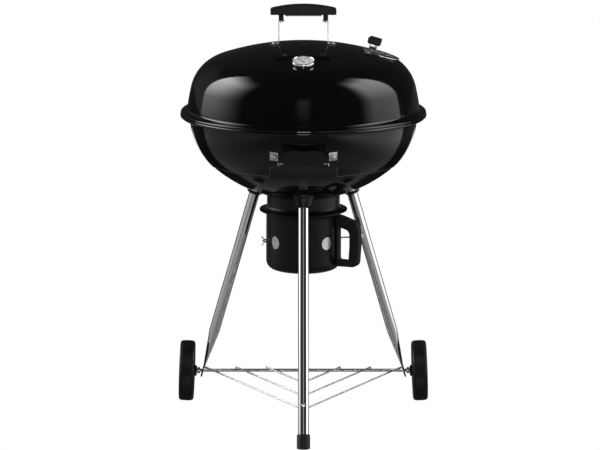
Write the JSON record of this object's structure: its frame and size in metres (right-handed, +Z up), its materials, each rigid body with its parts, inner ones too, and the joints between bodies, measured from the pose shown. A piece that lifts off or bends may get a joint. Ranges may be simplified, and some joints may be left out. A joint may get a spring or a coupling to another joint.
{
  "type": "kettle charcoal grill",
  "caption": "Black enamelled kettle charcoal grill with a domed lid, ash pot, tripod legs, two wheels and a wire rack.",
  "frame": {"origin": "on the floor, at the middle of the whole grill seen from above", "axes": "+Z up, -Y towards the front, where the bowl handle and the front leg are, +X to the right seen from the front"},
  "size_m": [0.6276, 0.6578, 1.025],
  "materials": {
    "enamel": "high gloss black enamel",
    "satin_black": "satin black enamel",
    "plastic": "fine-grained moulded, black",
    "polished": "polished",
    "dial": "pale printed",
    "needle": "black paint",
    "glass": "clear",
    "steel": "bright plated"
  },
  "bodies": {
    "stand": {"bowl": "enamel", "bowl_handle_grip": "plastic", "bowl_handle_strap_left": "steel", "bowl_handle_bolt_left": "steel", "bowl_handle_screw_left": "steel", "bowl_handle_strap_right": "steel", "bowl_handle_bolt_right": "steel", "bowl_handle_screw_right": "steel", "ash_collar": "satin_black", "leg_socket_front": "satin_black", "socket_bolt_front": "steel", "leg_screw_front": "steel", "leg_socket_right": "satin_black", "socket_bolt_right": "steel", "leg_screw_right": "steel", "leg_socket_left": "satin_black", "socket_bolt_left": "steel", "leg_screw_left": "steel", "leg_front": "polished", "front_foot": "plastic", "leg_left": "polished", "leg_right": "polished", "axle": "steel", "axle_spacer_left": "steel", "axle_nut_left": "steel", "axle_spacer_right": "steel", "axle_nut_right": "steel", "wire_rack": "steel", "rack_screw": "steel"},
    "lid": {"lid": "enamel", "lid_handle_grip": "plastic", "lid_handle_strap_left": "steel", "lid_handle_bolt_left": "steel", "lid_handle_screw_left": "steel", "lid_handle_strap_right": "steel", "lid_handle_bolt_right": "steel", "lid_handle_screw_right": "steel", "lid_damper_rivet": "steel", "thermometer_case": "polished", "thermometer_dial": "dial", "thermometer_lens": "glass", "thermometer_nut": "steel"},
    "lid_damper": {"lid_damper": "steel", "lid_damper_knob": "plastic"},
    "thermometer_needle": {"thermometer_needle": "needle"},
    "cooking_grate": {"cooking_grate": "steel"},
    "charcoal_grate": {"charcoal_grate": "steel"},
    "wheel_left": {"wheel_left": "plastic"},
    "wheel_right": {"wheel_right": "plastic"},
    "ash_pot": {"ash_pot": "satin_black", "ash_pot_handle": "plastic", "ash_pot_screw_upper": "steel", "ash_pot_screw_lower": "steel"},
    "ash_damper": {"ash_damper_band": "steel", "damper_clamp_bolt": "steel", "damper_lever_rod": "steel"},
    "wing_nut_left": {"wing_nut_left": "steel"},
    "wing_nut_right": {"wing_nut_right": "steel"}
  },
  "joints": [
    {"name": "lid_lift", "type": "slide", "parent": "stand", "child": "lid", "axis": [0, 0, 1], "range_m": [0, 0.25]},
    {"name": "lid_damper_turn", "type": "hinge", "parent": "lid", "child": "lid_damper", "pos_m": [0.189, 0.02955, 0.90239], "axis": [0.263, 0, 0.9648], "range_deg": [0, 45]},
    {"name": "thermometer_needle_turn", "type": "hinge", "parent": "lid", "child": "thermometer_needle", "pos_m": [0, -0.14745, 0.90566], "axis": [0, 0.263, -0.9648], "range_deg": [0, 270]},
    {"name": "cooking_grate_lift", "type": "slide", "parent": "stand", "child": "cooking_grate", "axis": [0, 0, 1], "range_m": [0, 0.06]},
    {"name": "charcoal_grate_lift", "type": "slide", "parent": "stand", "child": "charcoal_grate", "axis": [0, 0, 1], "range_m": [0, 0.08]},
    {"name": "wheel_left_spin", "type": "hinge", "parent": "stand", "child": "wheel_left", "pos_m": [-0.2928, 0.17563, 0.07643], "axis": [-0.9994, 0, 0.0349], "continuous": true},
    {"name": "wheel_right_spin", "type": "hinge", "parent": "stand", "child": "wheel_right", "pos_m": [0.2928, 0.17563, 0.07643], "axis": [0.9994, 0, 0.0349], "continuous": true},
    {"name": "ash_pot_drop", "type": "slide", "parent": "stand", "child": "ash_pot", "axis": [0, 0, -1], "range_m": [0, 0.12]},
    {"name": "ash_damper_turn", "type": "hinge", "parent": "ash_pot", "child": "ash_damper", "pos_m": [0, 0.02955, 0.444], "axis": [0, 0, -1], "range_deg": [0, 24]},
    {"name": "wing_nut_left_turn", "type": "hinge", "parent": "ash_damper", "child": "wing_nut_left", "pos_m": [-0.09038, 0.01034, 0.444], "axis": [-0.9781, -0.2079, 0], "continuous": true},
    {"name": "wing_nut_right_turn", "type": "hinge", "parent": "ash_damper", "child": "wing_nut_right", "pos_m": [0.13792, 0.05887, 0.444], "axis": [0.9781, 0.2079, 0], "continuous": true}
  ]
}
